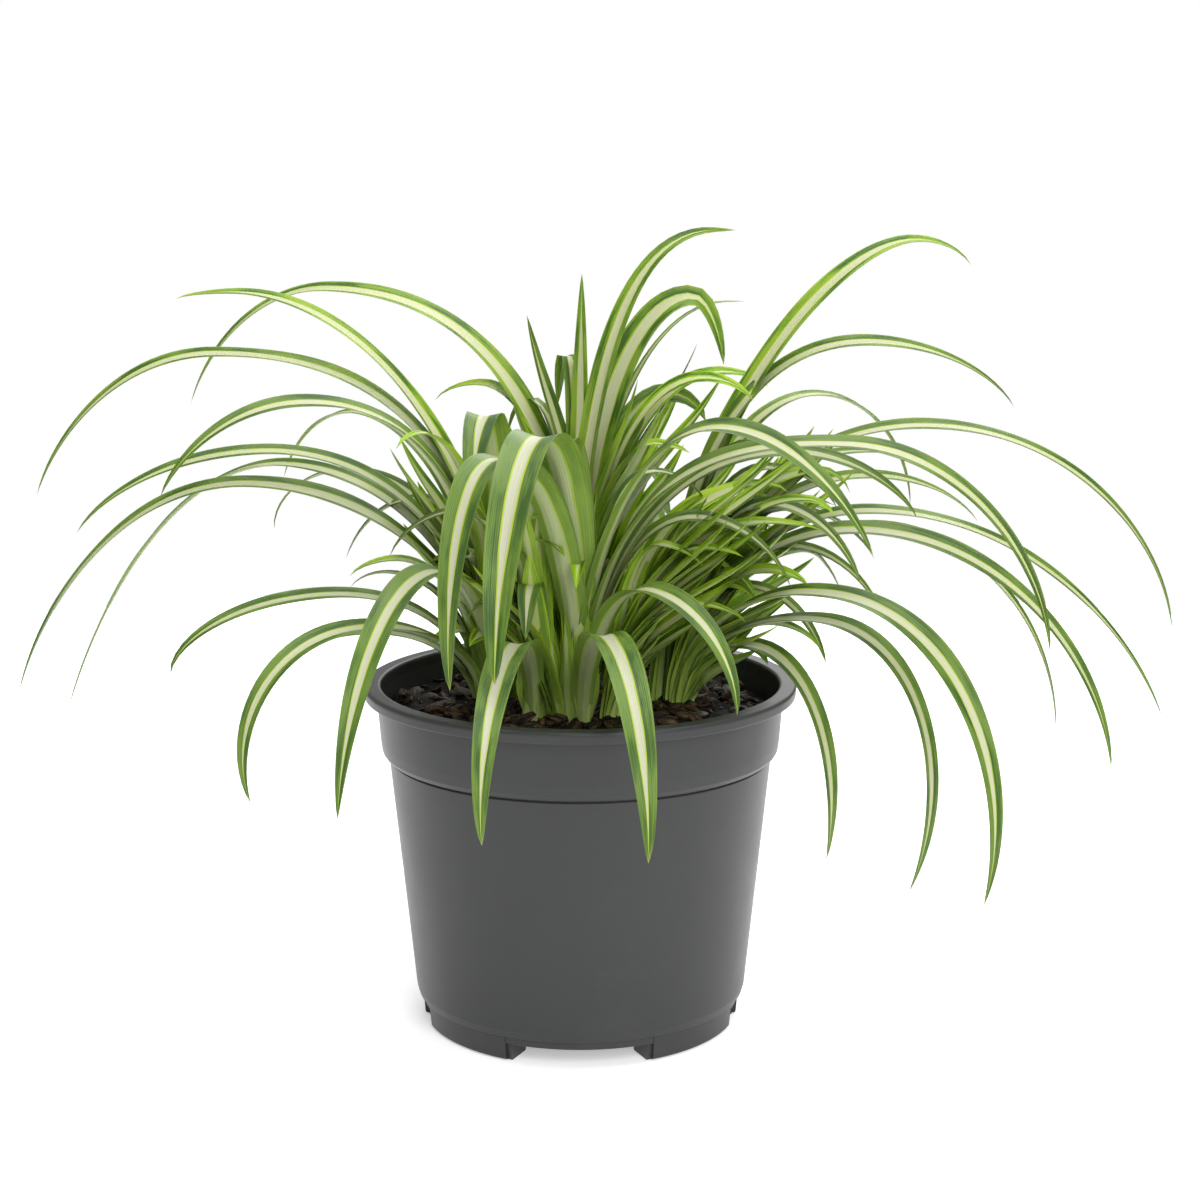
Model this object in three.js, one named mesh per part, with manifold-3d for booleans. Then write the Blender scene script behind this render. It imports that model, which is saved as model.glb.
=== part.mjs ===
// A potted spider plant: five crowns of striped, arching leaves stand in the potting mix of a
// 13 cm nursery pot. Millimetres, +Z up. The origin is the middle of the pot's foot, on the
// surface that it stands on. +X is to the right and -Y is the side that faces the viewer.
import * as THREE from 'three';
import { mergeVertices } from 'three/addons/utils/BufferGeometryUtils.js';
import Module from 'manifold-3d';

const wasm = await Module();
wasm.setup();

// ---- driving dimensions -------------------------------------------------------------------

// The pot, from the foot up. Its foot ring narrows a little towards the ground, and the collar
// and the lip step outwards from the body.
const POT_HEIGHT = 105;
const POT_SIDES = 36;
const WALL = 1.3;
const FOOT_RADIUS = 48.9;
const FOOT_TAPER = 0.6;
const FOOT_CHAMFER = 0.8;
const FOOT_RING_WIDTH = 11;
const FLOOR_UNDERSIDE = 5.5;
const FLOOR_THICKNESS = 2;
const FLOOR_FILLET = 3;
const SHOULDER_HEIGHT = 7.8;
const SHOULDER_ROUNDING = 0.7;
const BODY_FOOT_RADIUS = 50.6;
const BODY_FOOT_HEIGHT = 10.5;
const BODY_TOP_RADIUS = 58;
const BODY_TOP_HEIGHT = 83;
const STEP_ROUNDING = 0.9;
const STEP_HEIGHT = 1.4;
const COLLAR_FOOT_RADIUS = 60.5;
const COLLAR_FOOT_HEIGHT = 87.6;
const COLLAR_ROUNDING = 0.5;
const COLLAR_TOP_RADIUS = 61.5;
const LIP_RADIUS = 65.5;
const LIP_DEPTH = 3.6;
const LIP_ROUNDING = 0.9;

// The foot ring: four wide pads and two narrow side lugs, with open channels between them.
// Angles are degrees from the front of the pot, on either side.
const CHANNELS = [[-25, 25], [71.5, 83], [97, 108.5], [155, 205], [251.5, 263], [277, 288.5]];
const CHANNEL_OVERCUT = 2;
const DRAIN_HOLES = 6;
const DRAIN_HOLE_RADIUS = 4;
const DRAIN_HOLE_SIDES = 10;
const DRAIN_CIRCLE_RADIUS = 27;

// The potting mix: its level, how far its mounds stand up, and the rings that carry them, as
// parts of its radius.
const MIX_LEVEL = 96;
const MIX_RELIEF = 1.4;
const MIX_SIDES = 28;
const MIX_RINGS = [1, 0.85, 0.7, 0.55, 0.4, 0.2];
const CLEARANCE = 0.3;

// The crowns: a pale stub where the leaves of one plant join.
const CROWN_FOOT = 88;
const CROWN_TOP = 106;
const CROWN_SHOULDER = 5;
const CROWN_TAPER = 2;
const CROWN_SIDES = 12;

// The blades: their size, and where along them, from 0 at the root to 1 at the tip, the width,
// the fold and the roll change.
const LEAF_THICKNESS = 0.7;
const LEAF_ROOT_HEIGHT = 95;
const LEAF_STEP_LENGTH = 28;
const LEAF_STEPS_LEAST = 5;
const LEAF_STEPS_MOST = 8;
const ROOT_WIDTH_PART = 0.65;
const TIP_WIDTH_PART = 0.08;
const SWELL_END = 0.45;
const SLIM_TAPER = [2.2, 0.9];
const FULL_TAPER = [3.6, 0.6];
const ROOT_FOLD = 42;
const BLADE_FOLD = 18;
const FOLD_END = 0.3;
const ROLL_END = 0.4;
const TIP_ROLL_START = 0.45;
const TIP_ROLL_PART = 0.5;

// How a leaf bends, as parts of its rise to the top of the arch and of its fall to the tip. A
// leaf that stays low is rooted at the rim of its crown, a high one near the middle.
const LOW_LEAF_TOP = 120;
const HIGH_LEAF_TOP = 220;
const HIGH_ROOT_REACH = -3;
const RISE_LEAN = 0.06;
const RISE_PULL = 0.42;
const YOUNG_LEAN = 0.35;
const YOUNG_PULL = 0.3;
const FALL_PULL = 0.5;
const TIP_LEAN = 0.12;
const TIP_PULL = 0.45;

const POT_GREY = '#444545';
const MIX_BROWN = '#1e1712';
const LEAF_GREEN = '#6f9a3f';

// The shoots of each rosette, with their crowns and one row a leaf: compass bearing (degrees, 0
// to the right and 90 to the back), reach and height of the top of the arch, reach and height of
// the tip, width, roll of the blade (degrees, its left edge up), fullness (0 for a blade that
// tapers all the way, 1 for one that stays wide until near its tip), and where a leaf needs
// them, how far the falling part bulges out and the bow of the rising part (0.5 if it isn't
// given, more for a stem that stays upright and bends late). Reach is measured from the middle
// of the crown, height from the surface under the pot. Where the tip is the top, the leaf is a
// young one that still points up.
const ROSETTES = {
  rosette_front: [
    {
      x: 0,
      y: -16,
      radius: 9,
      leaves: [
        [243, 51, 180, 75, 121, 13, 0, 0.8, 6],
        [256, 46, 186, 88, 127, 15.5, 0, 1, 3],
        [248, 9, 181, 20, 170, 13, 0, 1],
        [281, 45, 130, 97, 82, 12.5, 0, 0.6, 8],
        [305, 36, 141, 75, 113, 11, 8, 0.5, 5],
        [325, 50, 187, 97, 156, 11.5, 20, 0.4, -2],
        [340, 80, 182, 138, 127, 11, 18, 0.5, 5, 0.65],
        [349, 62, 178, 98, 160, 10, 20, 0.5],
        [10, 40, 240, 46, 240, 11, 30, 0.4, 0, 0.62],
        [352, 34, 158, 62, 138, 8.5, 18, 0.45],
        [15, 22, 170, 40, 158, 8.5, 10, 0.45],
      ],
    },
    {
      x: -13,
      y: -13,
      radius: 7,
      leaves: [
        [264, 52, 128, 106, 89, 11.5, 0, 0.6, 15],
        [222, 9, 148, 17, 134, 10, 0, 0.6],
        [172, 22, 158, 44, 144, 10, -10, 0.4],
        [262, 8, 138, 18, 124, 10.5, 0, 0.6],
        [112, 8, 172, 15, 162, 9.5, 0, 0.5],
      ],
    },
  ],
  rosette_left: [
    {
      x: -24,
      y: 6,
      radius: 11,
      leaves: [
        [177, 80, 221, 97, 219, 10, -18, 0.5, 0, 0.46],
        [181, 85, 203, 139, 161, 10, -18, 0.5, 0, 0.62],
        [203, 62, 191, 103, 166, 10.5, -18, 0.5, 0, 0.58],
        [194, 72, 176, 125, 154, 9.5, -18, 0.5],
        [176, 78, 163, 151, 97, 10, -17, 0.5],
        [158, 74, 166, 158, 81, 8, -14, 0.5, -4],
        [140, 62, 181, 96, 157, 7.5, -10, 0.4],
        [150, 54, 164, 86, 143, 7.5, -10, 0.4, 4],
        [203, 57, 134, 102, 114, 9, -18, 0.5, 5],
        [222, 57, 127, 92, 82, 9.5, -16, 0.5, 12],
        [245, 46, 144, 97, 85, 12, -8, 0.4, 3],
        [172, 36, 136, 47, 131, 5, -10, 0.35],
        [185, 40, 119, 62, 112, 7, -12, 0.4],
        [262, 24, 187, 45, 165, 14, 0, 1],
        [160, 26, 158, 52, 138, 8.5, -12, 0.4],
      ],
    },
  ],
  rosette_right: [
    {
      x: 26,
      y: 6,
      radius: 11,
      leaves: [
        [12, 77, 236, 95, 228, 11.5, 21, 0.5, 0, 0.34],
        [5, 60, 206, 106, 186, 10, 18, 0.5, 0, 0.56],
        [30, 53, 188, 92, 150, 8, 10, 0.4, 4],
        [350, 78, 183, 150, 124, 9, 15, 0.5, 6],
        [20, 62, 171, 81, 168, 8.5, 16, 0.4],
        [15, 63, 164, 102, 148, 9, 15, 0.4],
        [357, 62, 156, 151, 93, 8.5, 14, 0.5],
        [341, 62, 153, 135, 87, 10.5, 18, 0.5, 6],
        [2, 62, 150, 121, 85, 8.5, 15, 0.5, 7],
        [318, 64, 138, 116, 57, 11, 14, 0.5, 17],
        [326, 54, 128, 84, 51, 9, 12, 0.5, 18],
        [332, 28, 117, 54, 54, 9, 14, 0.5, 8],
        [335, 34, 160, 62, 138, 9, 18, 0.45],
        [350, 38, 146, 66, 124, 8, 16, 0.4],
        [5, 36, 156, 64, 140, 8, 16, 0.4],
        [22, 34, 146, 60, 126, 8, 14, 0.4],
        [342, 26, 134, 50, 112, 8, 18, 0.4],
        [350, 24, 176, 48, 166, 9, 20, 0.45],
        [11, 31, 168, 54, 154, 8, 18, 0.4],
      ],
    },
  ],
  rosette_centre: [
    {
      x: 0,
      y: 20,
      radius: 9,
      leaves: [
        [165, 82, 220, 129, 183, 11, -20, 0.5, 0, 0.6],
        [200, 17, 214, 17, 214, 10, -40, 0.5],
        [80, 3, 226, 3, 226, 8, 0, 0.45],
        [5, 34, 219, 44, 198, 13.5, 45, 0.6],
        [12, 46, 217, 52, 217, 6, 10, 0.35],
        [6, 36, 205, 36, 205, 5, 0, 0.4],
        [14, 28, 189, 40, 180, 13, 45, 0.7],
        [120, 8, 201, 14, 185, 12, 0, 0.6],
        [150, 18, 187, 26, 176, 10, 0, 0.6],
      ],
    },
  ],
  rosette_back: [
    {
      x: 0,
      y: 46,
      radius: 9,
      leaves: [
        [92, 44, 164, 74, 118, 11, 0, 0.45],
        [75, 48, 158, 75, 92, 10, 0, 0.4, 6],
        [108, 46, 160, 74, 98, 10.5, 0, 0.4, 6],
        [62, 38, 150, 62, 96, 9.5, 0, 0.4, 5],
        [122, 36, 152, 60, 100, 9.5, 0, 0.4, 5],
        [85, 36, 138, 60, 70, 9, 0, 0.45, 8],
        [100, 38, 132, 62, 64, 9, 0, 0.45, 8],
        [50, 30, 160, 46, 140, 9, 0, 0.4],
        [132, 30, 158, 48, 136, 9, 0, 0.4],
        [70, 18, 172, 34, 160, 9, 0, 0.4],
        [112, 20, 170, 36, 158, 9, 0, 0.4],
        [30, 24, 150, 40, 132, 8, 0, 0.45],
        [152, 26, 148, 42, 130, 8, 0, 0.45],
      ],
    },
  ],
};

// ---- solids -------------------------------------------------------------------------------

function solidOf(geometry) {
  const bare = geometry.index ? geometry.toNonIndexed() : geometry.clone();
  for (const name of Object.keys(bare.attributes)) {
    if (name !== 'position') bare.deleteAttribute(name);
  }
  const merged = mergeVertices(bare, 1e-4);
  return new wasm.Manifold(new wasm.Mesh({
    numProp: 3,
    vertProperties: new Float32Array(merged.attributes.position.array),
    triVerts: new Uint32Array(merged.index.array),
  }));
}

// The outer surface alone: joining crowded blades can close off pockets between them and leave
// loose scraps, and both are surfaces of their own that share no edge with the largest one.
function outerSurface(triangles) {
  const owner = Array.from({ length: triangles.length / 3 }, (_, face) => face);
  const find = (face) => {
    while (owner[face] !== face) {
      owner[face] = owner[owner[face]];
      face = owner[face];
    }
    return face;
  };
  const faceAtEdge = new Map();
  triangles.forEach((corner, index) => {
    const face = Math.floor(index / 3);
    const next = triangles[face * 3 + ((index + 1) % 3)];
    const edge = `${Math.min(corner, next)}/${Math.max(corner, next)}`;
    if (faceAtEdge.has(edge)) owner[find(face)] = find(faceAtEdge.get(edge));
    faceAtEdge.set(edge, face);
  });
  const sizes = new Map();
  owner.forEach((_, face) => sizes.set(find(face), (sizes.get(find(face)) ?? 0) + 1));
  const [largest] = [...sizes].sort((one, other) => other[1] - one[1])[0];
  return triangles.filter((_, index) => find(Math.floor(index / 3)) === largest);
}

function geometryOf(solid) {
  const mesh = solid.getMesh();
  const triangles = outerSurface(Array.from(mesh.triVerts));
  const geometry = new THREE.BufferGeometry();
  geometry.setAttribute('position', new THREE.BufferAttribute(mesh.vertProperties, 3));
  geometry.setIndex(triangles);
  geometry.computeVertexNormals();
  return geometry;
}

// A profile of [radius, height] pairs, bottom to top, turned about +Z.
function turned(profile, sides) {
  const points = profile.map(([radius, height]) => new THREE.Vector2(radius, height));
  return new THREE.LatheGeometry(points, sides).rotateX(Math.PI / 2);
}

function cylinder(radius, foot, top, sides, x = 0, y = 0) {
  return turned([[0, foot], [radius, foot], [radius, top], [0, top]], sides).translate(x, y, 0);
}

// A sector of a ring between two angles, measured from the front of the pot (-Y) towards +X.
function ringSector(inner, outer, fromAngle, toAngle, foot, height) {
  const start = THREE.MathUtils.degToRad(fromAngle - 90);
  const end = THREE.MathUtils.degToRad(toAngle - 90);
  const shape = new THREE.Shape();
  shape.absarc(0, 0, outer, start, end, false);
  shape.absarc(0, 0, inner, end, start, true);
  shape.closePath();
  return new THREE.ExtrudeGeometry(shape, { depth: height, bevelEnabled: false, curveSegments: 6 })
    .translate(0, 0, foot);
}

// ---- the pot ------------------------------------------------------------------------------

// The inside of the wall, from the floor up, at a distance inwards from the wall.
function wallInside(inset = 0) {
  const floorTop = FLOOR_UNDERSIDE + FLOOR_THICKNESS;
  return [
    [BODY_FOOT_RADIUS - WALL - FLOOR_FILLET - inset, floorTop + inset],
    [BODY_FOOT_RADIUS - WALL - inset, floorTop + FLOOR_FILLET + inset],
    [BODY_TOP_RADIUS - WALL - inset, BODY_TOP_HEIGHT + inset],
    [COLLAR_FOOT_RADIUS - WALL - inset, COLLAR_FOOT_HEIGHT + inset],
    [COLLAR_TOP_RADIUS - WALL - inset, POT_HEIGHT - LIP_DEPTH],
  ];
}

function makePot() {
  const floorTop = FLOOR_UNDERSIDE + FLOOR_THICKNESS;
  const footInside = FOOT_RADIUS - FOOT_RING_WIDTH;
  const outside = [
    [0, FLOOR_UNDERSIDE],
    [footInside, FLOOR_UNDERSIDE],
    [footInside, 0],
    [FOOT_RADIUS - FOOT_TAPER - FOOT_CHAMFER, 0],
    [FOOT_RADIUS - FOOT_TAPER, FOOT_CHAMFER],
    [FOOT_RADIUS, SHOULDER_HEIGHT],
    [BODY_FOOT_RADIUS - SHOULDER_ROUNDING, SHOULDER_HEIGHT + SHOULDER_ROUNDING],
    [BODY_FOOT_RADIUS, BODY_FOOT_HEIGHT],
    [BODY_TOP_RADIUS, BODY_TOP_HEIGHT],
    [BODY_TOP_RADIUS + STEP_ROUNDING, BODY_TOP_HEIGHT + STEP_HEIGHT],
    [COLLAR_FOOT_RADIUS - COLLAR_ROUNDING, COLLAR_FOOT_HEIGHT - STEP_HEIGHT],
    [COLLAR_FOOT_RADIUS, COLLAR_FOOT_HEIGHT],
    [COLLAR_TOP_RADIUS, POT_HEIGHT - LIP_DEPTH],
    [LIP_RADIUS - LIP_ROUNDING, POT_HEIGHT - LIP_DEPTH],
    [LIP_RADIUS, POT_HEIGHT - LIP_DEPTH + LIP_ROUNDING],
    [LIP_RADIUS, POT_HEIGHT - LIP_ROUNDING],
    [LIP_RADIUS - LIP_ROUNDING, POT_HEIGHT],
    [COLLAR_TOP_RADIUS - WALL + LIP_ROUNDING, POT_HEIGHT],
    [COLLAR_TOP_RADIUS - WALL, POT_HEIGHT - LIP_ROUNDING],
  ];
  const inside = wallInside().reverse();
  let pot = solidOf(turned([...outside, ...inside, [0, floorTop]], POT_SIDES));
  const inner = footInside - CHANNEL_OVERCUT;
  const outer = BODY_FOOT_RADIUS + CHANNEL_OVERCUT;
  const depth = FLOOR_UNDERSIDE + CHANNEL_OVERCUT;
  for (const [fromAngle, toAngle] of CHANNELS) {
    const channel = ringSector(inner, outer, fromAngle, toAngle, -CHANNEL_OVERCUT, depth);
    pot = pot.subtract(solidOf(channel));
  }
  for (let hole = 0; hole < DRAIN_HOLES; hole += 1) {
    const angle = ((hole + 0.5) / DRAIN_HOLES) * 2 * Math.PI;
    const x = DRAIN_CIRCLE_RADIUS * Math.cos(angle);
    const y = DRAIN_CIRCLE_RADIUS * Math.sin(angle);
    const drain = cylinder(DRAIN_HOLE_RADIUS, 0, 2 * floorTop, DRAIN_HOLE_SIDES, x, y);
    pot = pot.subtract(solidOf(drain));
  }
  return pot;
}

// ---- the potting mix ----------------------------------------------------------------------

// Low mounds and hollows of the surface, fading out at the wall of the pot.
function mixHeight(x, y, edge) {
  const mounds = Math.sin(x / 4.1 + y / 9) * Math.cos(y / 4.7 - x / 11);
  const ripples = 0.5 * Math.sin(x / 2.3 - y / 3.1);
  const fade = 1 - (Math.hypot(x, y) / edge) ** 6;
  return MIX_LEVEL + MIX_RELIEF * (mounds + ripples) * Math.max(fade, 0);
}

function makeMix() {
  const side = wallInside(CLEARANCE);
  const edge = COLLAR_FOOT_RADIUS - WALL - CLEARANCE;
  const surface = MIX_RINGS.map((part) => [edge * part, MIX_LEVEL]);
  const profile = [[0, side[0][1]], ...side.slice(0, 4), ...surface, [0, MIX_LEVEL]];
  const body = turned(profile, MIX_SIDES);
  const position = body.attributes.position;
  for (let index = 0; index < position.count; index += 1) {
    if (Math.abs(position.getZ(index) - MIX_LEVEL) < 0.01) {
      position.setZ(index, mixHeight(position.getX(index), position.getY(index), edge));
    }
  }
  let mix = solidOf(body);
  for (const { x, y, radius } of Object.values(ROSETTES).flat()) {
    const hole = cylinder(radius + CLEARANCE, CROWN_FOOT - CLEARANCE, POT_HEIGHT, CROWN_SIDES, x, y);
    mix = mix.subtract(solidOf(hole));
  }
  return mix;
}

// ---- the plant ----------------------------------------------------------------------------

// The line of a leaf in its own upright plane: [reach, height] from the root to the tip.
function leafArc(crown, leaf) {
  const [, topReach, topHeight, tipReach, tipHeight, , , , bulge = 0, bow = 0.5] = leaf;
  const young = topReach === tipReach && topHeight === tipHeight;
  const highness = (topHeight - LOW_LEAF_TOP) / (HIGH_LEAF_TOP - LOW_LEAF_TOP);
  const outerness = 1 - THREE.MathUtils.clamp(highness, 0, 1);
  const rootReach = HIGH_ROOT_REACH + crown.radius * outerness;
  const root = new THREE.Vector2(rootReach, LEAF_ROOT_HEIGHT);
  const top = new THREE.Vector2(topReach, topHeight);
  const rise = top.clone().sub(root);
  const pull = RISE_PULL + bow / 2;
  const leaving = new THREE.Vector2(root.x + RISE_LEAN * rise.x, root.y + pull * rise.y);
  const arriving = young
    ? new THREE.Vector2(top.x - YOUNG_LEAN * rise.x, top.y - YOUNG_PULL * rise.y)
    : new THREE.Vector2(top.x - bow * rise.x, top.y);
  const path = new THREE.CurvePath();
  path.add(new THREE.CubicBezierCurve(root, leaving, arriving, top));
  if (!young) {
    const tip = new THREE.Vector2(tipReach, tipHeight);
    const fall = tip.clone().sub(top);
    const over = new THREE.Vector2(top.x + FALL_PULL * fall.x + bulge, top.y);
    const down = new THREE.Vector2(tip.x - TIP_LEAN * fall.x + bulge, tip.y - TIP_PULL * fall.y);
    path.add(new THREE.CubicBezierCurve(top, over, down, tip));
  }
  return path;
}

// How wide a blade is along its length, as a part of its full width.
function widthPart(along, fullness) {
  const swell = THREE.MathUtils.smoothstep(along, 0, SWELL_END);
  const delay = THREE.MathUtils.lerp(SLIM_TAPER[0], FULL_TAPER[0], fullness);
  const bluntness = THREE.MathUtils.lerp(SLIM_TAPER[1], FULL_TAPER[1], fullness);
  const taper = (1 - along ** delay) ** bluntness;
  return Math.max(THREE.MathUtils.lerp(ROOT_WIDTH_PART, 1, swell) * taper, TIP_WIDTH_PART);
}

// One blade: a strip folded along its midrib, laid along the arc, thickened to both sides.
function makeLeaf(crown, leaf) {
  const [compass, , , , , width, roll, fullness] = leaf;
  const bearing = THREE.MathUtils.degToRad(compass);
  const outward = new THREE.Vector3(Math.cos(bearing), Math.sin(bearing), 0);
  const sideways = new THREE.Vector3(-Math.sin(bearing), Math.cos(bearing), 0);
  const path = leafArc(crown, leaf);
  const wanted = Math.round(path.getLength() / LEAF_STEP_LENGTH);
  const steps = THREE.MathUtils.clamp(wanted, LEAF_STEPS_LEAST, LEAF_STEPS_MOST);
  const line = path.getSpacedPoints(steps).map((point) => (
    new THREE.Vector3(crown.x, crown.y, point.y).addScaledVector(outward, point.x)
  ));

  const strip = new THREE.PlaneGeometry(1, 1, 2, steps);
  const upper = [];
  const lower = [];
  line.forEach((middle, step) => {
    const along = step / steps;
    const before = line[Math.max(step - 1, 0)];
    const after = line[Math.min(step + 1, steps)];
    const tangent = after.clone().sub(before).normalize();
    const level = sideways.clone().addScaledVector(tangent, -sideways.dot(tangent)).normalize();
    const face = new THREE.Vector3().crossVectors(tangent, level);
    const rolled = THREE.MathUtils.smoothstep(along, 0, ROLL_END)
      + TIP_ROLL_PART * THREE.MathUtils.smoothstep(along, TIP_ROLL_START, 1);
    const turn = THREE.MathUtils.degToRad(roll * rolled);
    level.applyAxisAngle(tangent, turn);
    face.applyAxisAngle(tangent, turn);
    const half = 0.5 * width * widthPart(along, fullness);
    const flattening = THREE.MathUtils.smoothstep(along, 0, FOLD_END);
    const fold = THREE.MathUtils.degToRad(THREE.MathUtils.lerp(ROOT_FOLD, BLADE_FOLD, flattening));
    for (const edge of [1, 0, -1]) {
      const point = middle.clone()
        .addScaledVector(level, edge * half * Math.cos(fold))
        .addScaledVector(face, Math.abs(edge) * half * Math.sin(fold));
      upper.push(point.clone().addScaledVector(face, LEAF_THICKNESS / 2));
      lower.push(point.clone().addScaledVector(face, -LEAF_THICKNESS / 2));
    }
  });
  return thickened(strip.index.array, upper, lower, 3, steps + 1);
}

// Closes two like-numbered sheets of points, laid out in rows, into one body.
function thickened(sheetTriangles, upper, lower, columns, rows) {
  const offset = upper.length;
  const triangles = [];
  for (let index = 0; index < sheetTriangles.length; index += 3) {
    const [a, b, c] = sheetTriangles.slice(index, index + 3);
    triangles.push(a, c, b, a + offset, b + offset, c + offset);
  }
  const rim = [];
  for (let column = 0; column < columns - 1; column += 1) rim.push(column);
  for (let row = 0; row < rows - 1; row += 1) rim.push(row * columns + columns - 1);
  for (let column = columns - 1; column > 0; column -= 1) rim.push((rows - 1) * columns + column);
  for (let row = rows - 1; row > 0; row -= 1) rim.push(row * columns);
  rim.forEach((here, index) => {
    const next = rim[(index + 1) % rim.length];
    triangles.push(here, next + offset, next, here, here + offset, next + offset);
  });
  const geometry = new THREE.BufferGeometry().setFromPoints([...upper, ...lower]);
  geometry.setIndex(triangles);
  return geometry;
}

function makeRosette(crowns) {
  const solids = [];
  for (const crown of crowns) {
    const stub = [
      [0, CROWN_FOOT],
      [crown.radius, CROWN_FOOT],
      [crown.radius, LEAF_ROOT_HEIGHT],
      [crown.radius - CROWN_TAPER, LEAF_ROOT_HEIGHT + CROWN_SHOULDER],
      [0, CROWN_TOP],
    ];
    solids.push(solidOf(turned(stub, CROWN_SIDES).translate(crown.x, crown.y, 0)));
    for (const leaf of crown.leaves) solids.push(solidOf(makeLeaf(crown, leaf)));
  }
  return wasm.Manifold.union(solids);
}

// ---- the object ---------------------------------------------------------------------------

const group = new THREE.Group();

function addPiece(name, solid, colour, roughness) {
  const material = new THREE.MeshStandardMaterial({ color: colour, roughness, metalness: 0 });
  const mesh = new THREE.Mesh(geometryOf(solid), material);
  mesh.name = name;
  group.add(mesh);
}

addPiece('pot', makePot(), POT_GREY, 0.5);
addPiece('potting_mix', makeMix(), MIX_BROWN, 0.95);
for (const [name, crowns] of Object.entries(ROSETTES)) {
  addPiece(name, makeRosette(crowns), LEAF_GREEN, 0.45);
}

export default group;
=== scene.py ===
"""A potted spider plant: striped, arching leaves of five rosettes in a grey nursery pot."""

import math
import random

import bmesh
import bpy
from mathutils import Matrix, Vector, noise
from mathutils.geometry import interpolate_bezier


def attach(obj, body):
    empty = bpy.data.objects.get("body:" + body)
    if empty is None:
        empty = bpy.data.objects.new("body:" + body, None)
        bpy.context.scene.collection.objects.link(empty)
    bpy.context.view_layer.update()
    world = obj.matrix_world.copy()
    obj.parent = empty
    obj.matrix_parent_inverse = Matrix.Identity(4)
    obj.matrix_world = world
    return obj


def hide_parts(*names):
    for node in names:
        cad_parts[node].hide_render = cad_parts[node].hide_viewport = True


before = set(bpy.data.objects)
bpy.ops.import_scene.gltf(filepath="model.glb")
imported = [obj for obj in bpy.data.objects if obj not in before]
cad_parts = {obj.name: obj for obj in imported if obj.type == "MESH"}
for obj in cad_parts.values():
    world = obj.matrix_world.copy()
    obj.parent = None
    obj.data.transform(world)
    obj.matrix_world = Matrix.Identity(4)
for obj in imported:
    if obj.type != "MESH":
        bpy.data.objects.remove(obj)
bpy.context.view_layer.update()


# ---- the camera ---------------------------------------------------------------------------
# It stands in front of the pot, a little above the leaves, and looks down by eleven degrees,
# with a short telephoto lens.

LOOK_DOWN = 11.11

camera_data = bpy.data.cameras.new("camera")
camera_data.lens = 70
camera_data.sensor_width = 36
camera_data.clip_start = 0.05
camera_data.clip_end = 20
camera = bpy.data.objects.new("camera", camera_data)
camera.location = (0.006, -0.6896, 0.265)
camera.rotation_euler = (math.radians(90 - LOOK_DOWN), 0, 0)
bpy.context.scene.collection.objects.link(camera)
bpy.context.scene.camera = camera


# ---- the pot ------------------------------------------------------------------------------
# One injection-moulded piece of grey plastic with a thin wall: a flat lip, a wider collar band
# under it, a tapering body, a floor with drainage holes and a foot ring broken into pads.

MM = 0.001
POT_STEPS = 160
POT_GREY = (0.028, 0.029, 0.029, 1)
POT_GREY_WORN = (0.05, 0.051, 0.051, 1)
# Corners of the wall's section, from the middle of the floor's underside out, up and back down
# the inside: radius, height and how far the corner is rounded, in millimetres.
WALL_SECTION = [
    (0, 5.5, 0),
    (48.5, 5.5, 0.4),
    (48.7, 7.8, 0.3),
    (50.0, 8.4, 0.5),
    (50.65, 10.6, 1.2),
    (58.0, 82.5, 0.05),
    (57.6, 83.0, 0.05),
    (58.2, 83.3, 0.1),
    (59.2, 83.7, 0.5),
    (60.1, 85.1, 1.2),
    (60.5, 88.2, 2.0),
    (61.5, 101.3, 0.6),
    (65.2, 101.4, 0.6),
    (65.5, 105.0, 1.2),
    (60.2, 105.0, 1.0),
    (60.2, 101.4, 1.5),
    (59.2, 87.8, 1.5),
    (56.7, 83.0, 1.0),
    (49.3, 10.5, 3.0),
    (0, 7.5, 0),
]
# Pads of the foot ring, in degrees from the front on either side: four wide ones, two lugs.
# Each is a core with a skin that is a few degrees shorter.
FOOT_PADS = [(25, 71.5), (83, 97), (108.5, 155), (205, 251.5), (263, 277), (288.5, 335)]
FOOT_CORE = [(37.9, 8.0, 0), (37.9, 0, 0.5), (47.1, 0, 0.9), (48.1, 8.0, 0)]
FOOT_SKIN = [(46.5, 8.2, 0), (46.5, 0.35, 0.3), (48.2, 0.35, 1.1), (48.9, 8.2, 0)]
WIDEST_LUG = 20
PAD_SKIN_MARGIN = 1.6
LUG_SKIN_MARGIN = 1.0
# Drainage holes, on a circle round the middle of the floor.
DRAIN_HOLES = 6
DRAIN_RADIUS = 4.0
DRAIN_CIRCLE = 27.0
DRAIN_DEPTH = 6.0
FLOOR_MIDDLE = 6.5
# Points this far beside an arc hold the shading of the flats next to it.
HOLDING_GAP = 0.25
MERGED = 1e-6


def filleted(corners, segments=5):
    """A section's points in metres, its corners turned into arcs with holding points beside."""
    points = []
    for index, (radius, height, fillet) in enumerate(corners):
        here = Vector((radius, height))
        if not fillet:
            points.append(here)
            continue
        before = Vector(corners[index - 1][:2])
        after = Vector(corners[index + 1][:2])
        way_in = (before - here).normalized()
        way_out = (after - here).normalized()
        half_angle = way_in.angle(way_out) / 2
        most = 0.45 * min((before - here).length, (after - here).length)
        reach = min(fillet / math.tan(half_angle), most)
        start = here + way_in * reach
        end = here + way_out * reach
        points.append(start + way_in * min(HOLDING_GAP, most / 4))
        for step in range(segments + 1):
            part = step / segments
            points.append(start.lerp(here, part).lerp(here.lerp(end, part), part))
        points.append(end + way_out * min(HOLDING_GAP, most / 4))
    return [point * MM for point in points]


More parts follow.
